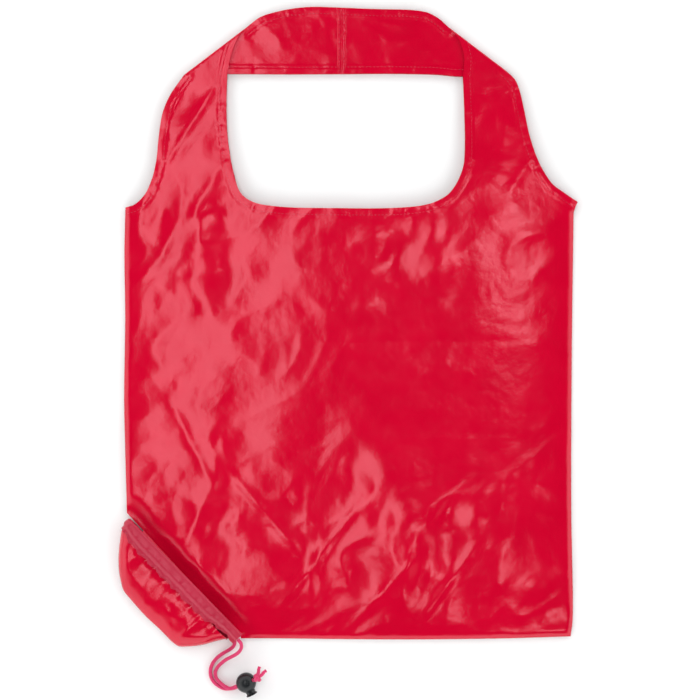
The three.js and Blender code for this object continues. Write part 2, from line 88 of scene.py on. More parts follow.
def spline(points, steps=24):
    """Points on a centripetal curve through the given ones."""
    p = np.array(points, float)
    spans = np.linalg.norm(np.diff(p, axis=0), axis=1) ** 0.5
    slopes = np.diff(p, axis=0) / spans[:, None]
    weight = spans[:, None]
    inner = (slopes[:-1] * weight[1:] + slopes[1:] * weight[:-1]) / (weight[:-1] + weight[1:])
    tangents = np.vstack([slopes[:1], inner, slopes[-1:]])
    t = np.linspace(0, 1, steps, endpoint=False)[:, None]
    made = []
    for i, span in enumerate(spans):
        a, b = p[i], p[i + 1]
        ta, tb = tangents[i] * span, tangents[i + 1] * span
        made.append(
            a * (2 * t**3 - 3 * t**2 + 1)
            + ta * (t**3 - 2 * t**2 + t)
            + b * (3 * t**2 - 2 * t**3)
            + tb * (t**3 - t**2)
        )
    return np.vstack([*made, p[-1:]])


def lengths_along(points):
    steps = np.linalg.norm(np.diff(points, axis=0), axis=1)
    return np.concatenate([[0], np.cumsum(steps)])


def spaced(points, step):
    """The same line with its points evenly apart, both ends kept."""
    p = np.array(points, float)
    along = lengths_along(p)
    at = np.linspace(0, along[-1], max(2, round(along[-1] / step) + 1))
    return np.stack([np.interp(at, along, p[:, k]) for k in range(p.shape[1])], axis=1)


def split_at(points, y):
    """A line cut where it crosses a height: the part before the cut and the part after it."""
    p = np.asarray(points, float)
    i = int(np.argmax((p[:-1, 1] - y) * (p[1:, 1] - y) <= 0))
    share = (y - p[i, 1]) / (p[i + 1, 1] - p[i, 1])
    cut = p[i] + (p[i + 1] - p[i]) * share
    return np.vstack([p[: i + 1], cut]), np.vstack([cut, p[i + 1 :]])


def to_line(points, line):
    """How far each point is from a line, and how far along the line its nearest place is."""
    a, b = line[:-1], line[1:]
    d = b - a
    long2 = np.maximum((d * d).sum(1), 1e-12)
    starts = lengths_along(line)[:-1]
    steps = np.sqrt(long2)
    away = np.empty(len(points))
    along = np.empty(len(points))
    for first in range(0, len(points), 2000):
        part = points[first : first + 2000]
        rel = part[:, None, :] - a[None]
        t = np.clip((rel * d[None]).sum(2) / long2, 0, 1)
        gap = np.linalg.norm(rel - t[..., None] * d[None], axis=2)
        best = gap.argmin(1)
        rows = np.arange(len(part))
        away[first : first + 2000] = gap[rows, best]
        along[first : first + 2000] = starts[best] + t[rows, best] * steps[best]
    return away, along


def inside(points, outline):
    """Which points lie within a closed outline."""
    x, y = points[:, 0], points[:, 1]
    found = np.zeros(len(points), bool)
    for (x0, y0), (x1, y1) in zip(outline, np.roll(outline, -1, axis=0)):
        if y0 == y1:
            continue
        crosses = (y0 > y) != (y1 > y)
        found ^= crosses & (x < (x1 - x0) * (y - y0) / (y1 - y0) + x0)
    return found


def beside(line, distance):
    """A line set off to its left by a distance."""
    ahead = np.gradient(line, axis=0)
    ahead /= np.linalg.norm(ahead, axis=1)[:, None]
    return line + np.stack([-ahead[:, 1], ahead[:, 0]], axis=1) * distance


# ---- cloth meshes
def triangulated(stretches, rows=(), cell=2.4):
    """A flat net of triangles inside an outline made of stretches, with rows of points kept."""
    outline = np.vstack([s[:-1] for s in stretches])
    low, high = outline.min(0), outline.max(0)
    xs = np.arange(low[0], high[0], cell)
    ys = np.arange(low[1], high[1], cell * math.sqrt(0.75))
    grid = np.array([(x + cell / 2 * (k % 2), y) for k, y in enumerate(ys) for x in xs])
    grid = grid[inside(grid, outline)]
    closed = np.vstack([outline, outline[:1]])
    grid = grid[to_line(grid, closed)[0] > cell * 0.55]
    kept = []
    for row in rows:
        row = row[inside(row, outline)]
        row = row[to_line(row, closed)[0] > 0.08]
        if len(row) < 2:
            continue
        grid = grid[to_line(grid, row)[0] > cell * 0.4]
        kept.append(row)
    points = np.vstack([outline, *kept, grid])
    edges = [(i, (i + 1) % len(outline)) for i in range(len(outline))]
    flat = [Vector(p) for p in points]
    found, _, faces, *_ = delaunay_2d_cdt(flat, edges, [], 1, 1e-5)
    return np.array([tuple(v) for v in found]), [tuple(f) for f in faces]


def new_object(name, points, faces, materials=()):
    mesh = bpy.data.meshes.new(name)
    mesh.from_pydata((np.asarray(points) * MM).tolist(), [], faces)
    mesh.update()
    made = bpy.data.objects.new(name, mesh)
    bpy.context.scene.collection.objects.link(made)
    for material in materials:
        mesh.materials.append(material)
    mesh.polygons.foreach_set("use_smooth", [True] * len(mesh.polygons))
    return made


def ring_faces(count, sides, first=0, capped=True):
    """Faces of a tube whose points come ring after ring, numbered from first."""
    faces = []
    for i in range(count - 1):
        low, high = first + i * sides, first + (i + 1) * sides
        for j in range(sides):
            k = (j + 1) % sides
            faces.append((low + j, low + k, high + k, high + j))
    if capped:
        faces.append(tuple(first + j for j in reversed(range(sides))))
        faces.append(tuple(first + (count - 1) * sides + j for j in range(sides)))
    return faces


def applied(obj):
    """The object with its modifiers made real."""
    bpy.context.view_layer.update()
    graph = bpy.context.evaluated_depsgraph_get()
    mesh = bpy.data.meshes.new_from_object(obj.evaluated_get(graph))
    obj.modifiers.clear()
    obj.data = mesh
    return obj


def thicken(obj, thickness=CLOTH, sharp=55):
    wall = obj.modifiers.new("cloth", "SOLIDIFY")
    wall.thickness = thickness * MM
    wall.offset = 0
    applied(obj)
    obj.data.set_sharp_from_angle(angle=math.radians(sharp))
    return obj


def lay_flat_uv(obj):
    """A map that takes the weave from where the cloth lies, in metres."""
    mesh = obj.data
    layer = mesh.uv_layers.new(name="lie") if not mesh.uv_layers else mesh.uv_layers[0]
    co = np.empty(len(mesh.vertices) * 3, np.float32)
    mesh.vertices.foreach_get("co", co)
    loops = np.empty(len(mesh.loops), np.int32)
    mesh.loops.foreach_get("vertex_index", loops)
    layer.data.foreach_set("uv", co.reshape(-1, 3)[loops, :2].ravel())
    return obj


def joined(name, objects):
    """One object out of several, with every material kept."""
    for other in objects:
        other.select_set(True)
    bpy.context.view_layer.objects.active = objects[0]
    with bpy.context.temp_override(
        active_object=objects[0], selected_objects=objects, selected_editable_objects=objects
    ):
        bpy.ops.object.join()
    objects[0].name = name
    objects[0].data.name = name
    objects[0].select_set(False)
    return objects[0]


def roughly(x, y, wavelength, seed):
    """Smooth noise from about -1 to 1."""
    k = 1 / wavelength
    shift = 13.7 * seed
    return np.array([noise.noise((a * k + shift, b * k - shift, seed)) for a, b in zip(x, y)])


def faceted(x, y, wavelength, seed):
    """Facets that meet in creases, from about -1 to 1."""
    return 1 - 2.4 * np.abs(roughly(x, y, wavelength, seed))


def folds(p, listed):
    """Raised or sunk creases, each from one point to another: height and half width in mm."""
    z = np.zeros(len(p))
    for x0, y0, x1, y1, height, width in listed:
        a, b = np.array([x0, y0], float), np.array([x1, y1], float)
        d = b - a
        long = np.linalg.norm(d)
        t = ((p - a) @ d) / long**2
        off = ((p - a) @ np.array([-d[1], d[0]])) / long
        taper = smooth(t, -0.15, 0.25) * (1 - smooth(t, 0.75, 1.15))
        z += height * taper / (1 + (off / width) ** 2)
    return z


def tilts(p, listed):
    """Broad facets: each is tipped about its centre, with a slope in x and a slope in y."""
    z = np.zeros(len(p))
    for x, y, reach, slope_x, slope_y in listed:
        d = p - np.array([x, y], float)
        fall = np.exp(-((d * d).sum(1) / reach**2) ** 1.5)
        z += (d[:, 0] * slope_x + d[:, 1] * slope_y) * fall
    return z


# ---- outlines
LEFT_OUTER = spline(
    [
        (-187, 100), (-179.5, 102), (-173.8, 106.3), (-168.7, 112.8), (-165.5, 119.9),
        (-162.9, 127.7), (-160.2, 141), (-158.6, 158), (-155.4, 179), (-148.8, 194.7), (-137, 211.8),
    ]
)
RIGHT_OUTER = spline(
    [
        (193.5, 104.7), (183, 111.7), (172.3, 119.4), (165.8, 128.2), (159.9, 139.4),
        (153.3, 158.3), (148.3, 181.9), (144.6, 198), (140.9, 207.1), (133.1, 215.1),
    ]
)
NECK = spline(
    [
        (-101, 212), (-101.6, 197), (-101.5, 171.4), (-99.9, 152), (-96, 130.3), (-89.6, 112),
        (-79.4, 104.6), (-60.1, 100.7), (-6.3, 99.1), (44.1, 99.6), (64.8, 101.9), (74, 104.8),
        (83.7, 110.2), (89.5, 116.9), (94.6, 126.4), (97.7, 136), (98.7, 148.3), (98.2, 181.9), (97, 210),
    ]
)
LEFT_SIDE = spline([(-187, 100), (-187.8, 60), (-187.1, 10), (-188, -60), (-187, -110), (-185.6, -156.8)])
MOUTH = [(-185.6, -156.8), (-90.0, -259.2), (-89.6, -262.2)]
BOTTOM = spline([(-89.6, -262.2), (-60, -262.4), (44, -263.3), (128, -262.5), (187.7, -260.8)])
RIGHT_SIDE = spline([(187.7, -260.8), (189.4, -248), (188.3, -150), (188.8, -20), (190.3, 95.8)])
RIGHT_TIP = [(190.3, 95.8), (191.2, 100), (193.5, 104.7)]
LEFT_FOLD = [(-137, 211.8), (-87.5, 249.5)]
RIGHT_FOLD = [(133.1, 215.1), (85.3, 251.4)]
LEFT_STRAP_END = spline([(-87.5, 249.5), (-93.4, 240), (-98.2, 226), (-101, 212)])
RIGHT_STRAP_END = spline([(85.3, 251.4), (93.4, 241.5), (98, 227), (97, 210)])
LEFT_BAND_LOW = spline([(-137, 211.8), (-101, 212.6), (-50, 212.4), (-5, 212.6)])
RIGHT_BAND_LOW = spline([(-5, 212.6), (40, 212.8), (75, 212), (97, 210.4), (133.1, 215.1)])
LEFT_BAND_TOP = spline(
    [(-5, 268.1), (-29.8, 268.8), (-44, 267.6), (-58, 265), (-73.5, 260), (-87.5, 249.5)]
)
RIGHT_BAND_TOP = spline(
    [(85.3, 251.4), (76, 259.5), (66.3, 264.3), (52.5, 266.2), (24.4, 266.9), (-5, 268.1)]
)
INNER_EDGE = np.vstack([LEFT_STRAP_END[:-1], NECK, RIGHT_STRAP_END[::-1][1:]])
HANDLE_OPENS = 140.0  # the front handle is a piece of its own above this line
NECK_LEFT, NECK_REST = split_at(NECK, HANDLE_OPENS)
NECK_LOW, NECK_RIGHT = split_at(NECK_REST[1:], HANDLE_OPENS)
NECK_LOW = np.vstack([NECK_REST[:1], NECK_LOW])
LEFT_LOW, LEFT_HIGH = split_at(LEFT_OUTER, HANDLE_OPENS)
RIGHT_LOW, RIGHT_HIGH = split_at(RIGHT_OUTER, HANDLE_OPENS)


# ---- heights
HINGE = 106.0
FRONT_LOW = 2.2
BELLY = 4.4
BACK_BAND, BACK_STRAP, FRONT_BAND, FRONT_STRAP = 0.4, 1.6, 2.8, 4.0
MOUTH_START = np.array([-183.0, -160.0])
MOUTH_TURN = math.radians(47)
MOUTH_ALONG = np.array([math.cos(MOUTH_TURN), -math.sin(MOUTH_TURN)])
MOUTH_OUT = np.array([-math.sin(MOUTH_TURN), -math.cos(MOUTH_TURN)])


def belly_height(x, y):
    """The middle of the front panel's cloth, before its wrinkles."""
    across = np.minimum(1, np.abs(x) / 188) ** 8
    down = np.clip((HINGE - y) / 368, 0, 1) ** 8
    rim = -((np.stack([x, y], 1) - MOUTH_START) @ MOUTH_OUT)
    pinch = 1 - np.exp(-np.maximum(0, rim) / 12)
    return FRONT_LOW + 0.4 + BELLY * (1 - across) * (1 - down) * pinch


def strap_share(y):
    return smooth(y, 114, 206)


def front_height(p):
    x, y = p[:, 0], p[:, 1]
    body = belly_height(x, np.minimum(y, HINGE))
    return body + (FRONT_STRAP - body) * strap_share(y)


def round_down(z, away, low, reach):
    """Brings cloth down to a seam, on a quarter round."""
    share = 1 - np.clip(away / reach, 0, 1)
    return low + (z - low) * np.sqrt(np.maximum(0, 1 - share * share))


def hem_relief(p, edges, seed):
    """The folded hems along free edges: a step, a row of stitches and the puckers beside it."""
    z = np.zeros(len(p))
    for k, edge in enumerate(edges):
        away, along = to_line(p, edge)
        near = away < HEM + 8
        s, d = along[near], away[near]
        step = HEM_LIFT * (1 - smooth(d, HEM - 0.35, HEM + 0.35))
        groove = 0.22 * np.exp(-(((d - STITCH_IN) / 0.55) ** 2))
        patch = 0.25 + 0.75 * smooth(roughly(s, s * 0, 34, seed + k), -0.1, 0.35)
        wave = roughly(s, d * 0.35, 3.4, seed + k + 7) + 0.6 * roughly(s, d * 0.3, 7.5, seed + k + 3)
        pucker = 0.42 * patch * wave * np.exp(-(((d - 4.4) / 3.6) ** 2))
        z[near] += step - groove + pucker
    return z


def hem_rows(edges, step=1.6):
    rows = []
    for edge in edges:
        for distance in (1.5, 3.2, STITCH_IN - 0.7, STITCH_IN, STITCH_IN + 0.7, HEM + 0.4):
            rows.append(spaced(beside(edge, distance), step))
            rows.append(spaced(beside(edge, -distance), step))
    return rows


BROAD_TILTS = [
    (-112, 72, 22, -0.11, 0.0),
    (-112, 38, 22, -0.11, 0.0),
    (-140, 22, 16, -0.08, 0.05),
    (-110, -129, 18, -0.1, 0.04),
    (-112, -184, 17, -0.1, 0.0),
    (-50, 52, 50, 0.05, 0.0),
    (15, -180, 62, 0.095, 0.0),
    (105, -190, 40, 0.1, 0.0),
    (-135, -60, 30, 0.03, 0.02),
    (8, 68, 20, 0.09, 0.0),
    (58, 55, 23, 0.1, 0.02),
    (22, 20, 16, -0.06, 0.0),
    (86, 34, 17, -0.06, 0.04),
    (65, 84, 13, 0.12, 0.0),
    (150, 60, 26, 0.015, 0.0),
    (-40, -90, 30, -0.05, 0.02),
    (-48, -154, 16, -0.06, 0.0),
    (18, -120, 20, 0.11, 0.02),
    (40, -160, 17, 0.13, 0.0),
    (96, -155, 17, 0.15, -0.03),
    (70, -215, 16, 0.13, 0.02),
    (160, -228, 15, -0.05, 0.12),
    (-20, -205, 18, 0.1, 0.03),
]
BODY_FOLDS = [
    (-150, -14, 150, -12, -0.35, 3.0),
    (-165, -90, 160, -96, 0.2, 4.0),
    (-60, -240, 10, -150, 1.1, 4.0),
    (0, -255, 60, -190, 0.9, 3.5),
    (60, -250, 110, -180, 1.0, 3.5),
    (-100, -120, -40, -190, 0.8, 4.0),
    (-150, -60, -110, -140, 0.8, 4.0),
    (100, -120, 40, -200, 0.6, 5.0),
]


def body_wrinkles(p):
    x, y = p[:, 0], p[:, 1]
    low = 1 - smooth(y, -170, -60)
    left = 1 - smooth(x, -130, -10)
    high = smooth(y, 20, 90)
    much = 0.5 + 0.75 * low + 0.65 * left + 0.4 * high
    bend_x = x + 16 * roughly(x, y, 70, 3)
    bend_y = y + 16 * roughly(x, y, 70, 5)
    slant_x, slant_y = bend_x * 0.77 + bend_y * 0.64, bend_y * 0.77 - bend_x * 0.64
    z = 1.1 * roughly(x, y, 120, 1)
    z += 1.05 * much * faceted(bend_x, bend_y, 80, 2)
    z += 0.75 * much * faceted(slant_x, slant_y * 1.6, 48, 4)
    z += 0.23 * much * faceted(slant_x * 0.9, slant_y, 23, 6)
    z += 0.05 * faceted(x, y, 9, 8)
    return 0.85 * z + tilts(p, BROAD_TILTS) + folds(p, BODY_FOLDS)


def strap_wrinkles(p, seed):
    x, y = p[:, 0], p[:, 1]
    z = 0.5 * roughly(x, y, 60, seed)
    z += 0.35 * faceted(x, y, 48, seed + 1)
    return z + 0.08 * faceted(x, y, 17, seed + 2)


def stitches(name, lines, height, material, pitch=3.1):
    """A row of thread dashes along each line, lying on the cloth."""
    points, faces = [], []
    ring = 6
    for line in lines:
        line = spaced(line, pitch)
        for a, b in zip(line[:-1], line[1:]):
            d = (b - a) / np.linalg.norm(b - a)
            side = np.array([-d[1], d[0]])
            places = [a + d * pitch * t for t in (0.14, 0.26, 0.5, 0.74, 0.86)]
            base = len(points)
            for k, place in enumerate(places):
                z = height(place[None])[0] + (-0.16, 0.0, 0.05, 0.0, -0.16)[k]
                radius = (0.08, 0.17, 0.19, 0.17, 0.08)[k]
                for i in range(ring):
                    turn = 2 * math.pi * i / ring
                    flat = place + side * radius * math.cos(turn)
                    points.append((flat[0], flat[1], z + radius * math.sin(turn)))
            faces += ring_faces(len(places), ring, base)
    return new_object(name, points, faces, [material])


# ---- materials
def principled(name, **sockets):
    material = bpy.data.materials.new(name)
    material.use_nodes = True
    shader = material.node_tree.nodes["Principled BSDF"]
    for socket, value in sockets.items():
        shader.inputs[socket.replace("_", " ")].default_value = value
    return material, material.node_tree.nodes, material.node_tree.links, shader


def coordinates(nodes, uv=True):
    if uv:
        node = nodes.new("ShaderNodeUVMap")
        node.uv_map = "lie"
        return node.outputs[0]
    return nodes.new("ShaderNodeTexCoord").outputs["Object"]


def add_noise(nodes, links, where, scale, detail=3.0):
    node = nodes.new("ShaderNodeTexNoise")
    node.inputs["Scale"].default_value = scale
    node.inputs["Detail"].default_value = detail
    links.new(where, node.inputs["Vector"])
    return node.outputs["Fac"]


def add_range(nodes, links, value, low, high, to_low, to_high):
    node = nodes.new("ShaderNodeMapRange")
    for name, number in zip(
        ("From Min", "From Max", "To Min", "To Max"), (low, high, to_low, to_high)
    ):
        node.inputs[name].default_value = number
    links.new(value, node.inputs["Value"])
    return node.outputs["Result"]


def add_mix(nodes, links, share, low, high):
    node = nodes.new("ShaderNodeMix")
    node.data_type = "RGBA"
    node.inputs["A"].default_value = (*low, 1)
    node.inputs["B"].default_value = (*high, 1)
    links.new(share, node.inputs["Factor"])
    return node.outputs["Result"]


def add_bump(nodes, links, height, strength, distance, normal=None):
    node = nodes.new("ShaderNodeBump")
    node.inputs["Strength"].default_value = strength
    node.inputs["Distance"].default_value = distance
    links.new(height, node.inputs["Height"])
    if normal is not None:
        links.new(normal, node.inputs["Normal"])
    return node.outputs["Normal"]


def add_wave(nodes, links, where, direction, scale):
    node = nodes.new("ShaderNodeTexWave")
    node.bands_direction = direction
    node.inputs["Scale"].default_value = scale
    node.inputs["Distortion"].default_value = 0.6
    node.inputs["Detail"].default_value = 1.0
    node.inputs["Detail Scale"].default_value = 0.6
    links.new(where, node.inputs["Vector"])
    return node.outputs["Fac"]


def nylon(name, dark, light, rough, weave=0.12, crease=0.35):
    """Thin glossy nylon taffeta: a fine plain weave, faint creases and a slightly uneven shine."""
    material, nodes, links, shader = principled(
        name,
        Specular_IOR_Level=0.62,
        Specular_Tint=(1.0, 0.52, 0.6, 1),
    )
    where = coordinates(nodes)
    cloudy = add_noise(nodes, links, where, 26.0, 4.0)
    links.new(add_mix(nodes, links, cloudy, dark, light), shader.inputs["Base Color"])
    patchy = add_noise(nodes, links, where, 60.0, 3.0)
    spread = add_range(nodes, links, patchy, 0.3, 0.7, rough[0], rough[1])
    links.new(spread, shader.inputs["Roughness"])
    threads = nodes.new("ShaderNodeMath")
    threads.operation = "MULTIPLY"
    links.new(add_wave(nodes, links, where, "X", 320.0), threads.inputs[0])
    links.new(add_wave(nodes, links, where, "Y", 320.0), threads.inputs[1])
    wrinkled = add_noise(nodes, links, where, 120.0, 6.0)
    normal = add_bump(nodes, links, wrinkled, crease, 0.0006)
    normal = add_bump(nodes, links, threads.outputs[0], weave, 0.00008, normal)
    links.new(normal, shader.inputs["Normal"])
    return material


def braid_material(name, dark, light):
    material, nodes, links, shader = principled(
        name, Sheen_Weight=0.35, Sheen_Roughness=0.5, Sheen_Tint=(1.0, 0.6, 0.75, 1)
    )
    where = coordinates(nodes, uv=False)
    fibres = add_noise(nodes, links, where, 1400.0, 4.0)
    links.new(add_mix(nodes, links, fibres, dark, light), shader.inputs["Base Color"])
    links.new(add_range(nodes, links, fibres, 0.2, 0.8, 0.62, 0.85), shader.inputs["Roughness"])
    links.new(add_bump(nodes, links, fibres, 0.35, 0.0002), shader.inputs["Normal"])
    return material


def plastic_material(name):
    material, nodes, links, shader = principled(name, Specular_IOR_Level=0.32)
    where = coordinates(nodes, uv=False)
    grain = add_noise(nodes, links, where, 900.0, 3.0)
    scuffs = add_noise(nodes, links, where, 160.0, 5.0)
    colour = add_mix(nodes, links, scuffs, (0.004, 0.005, 0.006), (0.009, 0.011, 0.013))
    links.new(colour, shader.inputs["Base Color"])
    links.new(add_range(nodes, links, scuffs, 0.3, 0.7, 0.22, 0.32), shader.inputs["Roughness"])
    links.new(add_bump(nodes, links, grain, 0.08, 0.0001), shader.inputs["Normal"])
    return material


def steel_material(name):
    material, nodes, links, shader = principled(name, Metallic=1.0)
    where = coordinates(nodes, uv=False)
    drawn = add_noise(nodes, links, where, 1500.0, 2.0)
    links.new(
        add_mix(nodes, links, drawn, (0.5, 0.51, 0.53), (0.66, 0.67, 0.69)), shader.inputs["Base Color"]
    )
    links.new(add_range(nodes, links, drawn, 0.2, 0.8, 0.22, 0.34), shader.inputs["Roughness"])
    return material


RED_DARK, RED_LIGHT = (0.51, 0.0, 0.019), (0.61, 0.001, 0.026)
red_nylon = nylon("red_nylon", RED_DARK, RED_LIGHT, (0.12, 0.19))
casing_nylon = nylon("casing_nylon", (0.36, 0.01, 0.032), (0.47, 0.016, 0.05), (0.28, 0.38))
thread = braid_material("thread", (0.42, 0.0, 0.02), (0.6, 0.02, 0.06))
cord_braid = braid_material("cord_braid", (0.5, 0.008, 0.075), (0.72, 0.035, 0.16))
black_plastic = plastic_material("black_plastic")
spring_steel = steel_material("spring_steel")


# ---- tubes
def frames_along(line):
    """Unit vectors ahead, to one side and up at each point, with no twist between them."""
    ahead = np.gradient(line, axis=0)
    ahead /= np.linalg.norm(ahead, axis=1)[:, None]
    side = np.cross(ahead[0], (0, 0, 1))
    sides = []
    for t in ahead:
        side = side - t * (side @ t)
        side = side / np.linalg.norm(side)
        sides.append(side)
    sides = np.array(sides)
    return ahead, sides, np.cross(sides, ahead)


def tube_mesh(line, sides, radius):
    """Points and faces of a closed tube. The radius is a function of place along and angle."""
    _, across, up = frames_along(line)
    along = lengths_along(line)
    turns = np.linspace(0, 2 * math.pi, sides, endpoint=False)
    s, t = np.meshgrid(along, turns, indexing="ij")
    r = radius(s, t)
    ring = across[:, None] * np.cos(t)[..., None] + up[:, None] * np.sin(t)[..., None]
    points = line[:, None] + ring * r[..., None]
    return points.reshape(-1, 3), ring_faces(len(line), sides)


def braid(diameter, strands=8, lay=6.5, relief=0.16):
    """The radius of a braided cord: two sets of strands that cross over each other."""

    def radius(s, t):
        one = np.sin(strands / 2 * t + 2 * math.pi * s / lay * strands / 2)
        two = np.sin(strands / 2 * t - 2 * math.pi * s / lay * strands / 2)
        return diameter / 2 - relief / 2 + relief * np.maximum(np.abs(one), np.abs(two)) * 0.6

    return radius


CORD = 3.0
FRONT_CORD = [
    (-91.80, -261.46, 12.15), (-90.44, -262.92, 12.15), (-89.0, -265.1, 11.7), (-88.8, -268.5, 10.8),
    (-90.2, -271.6, 9.6), (-93.2, -274.6, 7.9), (-97.4, -277.2, 5.9), (-102.0, -279.9, 4.1),
    (-106.1, -283.2, 2.7), (-109.6, -287.1, 1.9), (-111.4, -291.5, 1.6), (-110.5, -295.8, 1.8),
    (-107.5, -299.2, 2.6), (-103.7, -302.0, 3.7), (-99.5, -303.9, 4.8), (-95.13, -303.39, 5.52),
    (-92.46, -302.09, 6.72), (-85.42, -298.65, 9.89), (-78.84, -295.44, 12.85),
]
BACK_CORD = [
    (-97.77, -260.19, 2.25), (-96.41, -261.65, 2.25), (-94.9, -265.0, 2.1), (-95.6, -268.3, 1.9),
    (-97.9, -270.9, 1.7), (-101.8, -273.3, 1.6), (-106.2, -276.0, 1.6), (-110.5, -279.6, 1.6),
    (-113.9, -284.2, 1.6), (-115.4, -289.4, 1.6), (-114.9, -294.6, 1.6), (-112.4, -299.2, 1.6),
    (-108.3, -302.6, 1.6), (-103.4, -304.8, 1.6), (-98.6, -304.7, 1.7), (-94.09, -302.88, 2.65),
    (-91.42, -301.58, 3.85), (-84.38, -298.15, 7.01), (-77.80, -294.94, 9.97),
]


def make_cord(name, points):
    line = spaced(spline(points, 40), 0.32)
    made = new_object(name, *tube_mesh(line, 24, braid(CORD)), [cord_braid])
    return made, line


cord_front, front_line = make_cord("cord_front", FRONT_CORD)
cord_back, back_line = make_cord("cord_back", BACK_CORD)

# ---- ball lock, in its own frame
BALL = 16.9
BUTTON_TRAVEL = 2.5
STRAND_SLOT = (3.35, 1.8, 12)  # half its width, height and length, for both strands
CAVITY, PLUNGER = 4.5, 4.2  # radii
PLUNGER_LOW = -3.4
SPRING_POCKET = (2.3, -7.3)  # radius and floor
SPRING_RADIUS, SPRING_WIRE, SPRING_TURNS = 1.75, 0.25, 3
SPRING_LOW, SPRING_HIGH = -6.65, -4.05
BORE = np.array([0.83335, 0.40645, 0.37461])
PLUNGE = np.array([0.43837, -0.89879, 0.0])
LOCK = Matrix(
    [
        (BORE[0], -0.33669, PLUNGE[0], -84.9 * MM),
        (BORE[1], -0.16422, PLUNGE[1], -298.4 * MM),
        (BORE[2], 0.92718, PLUNGE[2], 8.45 * MM),
        (0, 0, 0, 1),
    ]
)


def lathe(profile, steps=72):
    """Points and faces of a closed turned shape: radius and height from one end to the other."""
    points = []
    for radius, height in profile:
        for k in range(steps):
            turn = 2 * math.pi * k / steps
            points.append((radius * math.cos(turn), radius * math.sin(turn), height))
    return points, ring_faces(len(profile), steps)


def arc(centre, radius, start, end, count):
    turns = np.radians(np.linspace(start, end, count))
    return [(centre[0] + radius * math.cos(t), centre[1] + radius * math.sin(t)) for t in turns]


def slot_mesh(half_wide, half_high, half_long, travel=0.0, steps=24):
    """A round-ended bar along x, drawn out upwards by the travel that it makes room for."""
    ring = []
    for k in range(steps):
        turn = 2 * math.pi * k / steps
        y = half_high * math.cos(turn) + math.copysign(half_wide - half_high, math.cos(turn))
        rise = travel if 0 < k < steps / 2 else 0.0
        ring.append((y, half_high * math.sin(turn) + rise))
    points = [(x, y, z) for x in (-half_long, half_long) for y, z in ring]
    return points, ring_faces(2, steps)


def cut(obj, *tools):
    for tool in tools:
        modifier = obj.modifiers.new("cut", "BOOLEAN")
        modifier.operation = "DIFFERENCE"
        modifier.solver = "EXACT"
        modifier.object = tool
    applied(obj)
    for tool in tools:
        bpy.data.objects.remove(tool)
    return obj


def finish_hard(obj, bevel=0.22):
    """Rounded edges and clean shading on a moulded piece."""
    edge = obj.modifiers.new("edge", "BEVEL")
    edge.width = bevel * MM
    edge.segments = 3
    edge.limit_method = "ANGLE"
    edge.angle_limit = math.radians(40)
    edge.use_clamp_overlap = True
    applied(obj)
    obj.data.set_sharp_from_angle(angle=math.radians(35))
    obj.data.transform(LOCK)
    return obj


def make_lock():
    globe = [(0.02, -8.45)] + arc((0, 0), BALL / 2, -88, 88, 46) + [(0.02, 8.45)]
    barrel = new_object("lock_ball", *lathe(globe), [black_plastic])
    cavity = new_object("cavity", *lathe([(CAVITY, -6.2), (CAVITY, 12)]))
    pocket = new_object("pocket", *lathe([SPRING_POCKET, (SPRING_POCKET[0], 0)], 40))
    bore = new_object("bore", *slot_mesh(*STRAND_SLOT))
    finish_hard(cut(barrel, cavity, pocket, bore))

    button = [(0.02, PLUNGER_LOW), (PLUNGER, PLUNGER_LOW), (PLUNGER, 7.9)]
    button += [(4.05, 8.5), (3.9, 9.2), (4.0, 9.8), (4.45, 10.2), (4.8, 10.4), (4.8, 11.1), (4.6, 11.3)]
    button += [(3.4, 11.3), (3.0, 10.9), (1.6, 10.7), (0.02, 10.65)]
    plunger = new_object("lock_button_cap", *lathe(button), [black_plastic])
    hole = new_object("hole", *slot_mesh(*STRAND_SLOT, BUTTON_TRAVEL))
    finish_hard(cut(plunger, hole), 0.12)

    turns = np.linspace(0, 2 * math.pi * SPRING_TURNS, 150)
    height = np.linspace(SPRING_LOW, SPRING_HIGH, 150)
    coil = np.stack([SPRING_RADIUS * np.cos(turns), SPRING_RADIUS * np.sin(turns), height], axis=1)
    wire = tube_mesh(coil, 12, lambda s, t: SPRING_WIRE + 0 * s)
    spring = new_object("lock_coil", *wire, [spring_steel])
    spring.data.transform(LOCK)
    return barrel, plunger, spring


lock_ball, lock_cap, lock_coil = make_lock()

# ---- knot
KNOT_AT = np.array([-75.40, -293.77, 12.72])
LEFT_END = [(-75.3, -291.6, 12.6), (-74.3, -288.6, 11.5), (-74.2, -286.6, 10.8), (-73.6, -284.8, 10.1)]
RIGHT_END = [(-73.8, -292.6, 12.4), (-71.4, -291.0, 11.6), (-69.9, -289.2, 10.8), (-68.3, -288.2, 9.8)]


def make_knot():
    """An overhand knot pulled tight, and the two cut ends that come out of it."""
    turns = np.linspace(0, 2 * math.pi, 160)
    loop = np.stack(
        [
            1.15 * np.sin(3 * turns),
            np.sin(turns) + 1.45 * np.sin(2 * turns),
            np.cos(turns) - 1.45 * np.cos(2 * turns),
        ],
        axis=1,
    )
    axes = np.array([BORE, PLUNGE, np.cross(BORE, PLUNGE)])
    line = KNOT_AT + loop @ axes
    knot = new_object("cord_knot", *tube_mesh(line, 20, braid(3.1)), [cord_braid])
    ends = []
    for name, points in (("cord_end_left", LEFT_END), ("cord_end_right", RIGHT_END)):
        line = spaced(spline(points, 30), 0.3)
        long = lengths_along(line)[-1]
        weave = braid(2.9)

        def frayed(s, t, long=long, weave=weave):
            necked, flared = smooth(s, long - 2.2, long - 1.2), smooth(s, long - 1.2, long)
            return weave(s, t) * (1 - 0.16 * necked + 0.22 * flared)

        ends.append(new_object(name, *tube_mesh(line, 20, frayed), [cord_braid]))
    return knot, ends


cord_knot, cord_ends = make_knot()

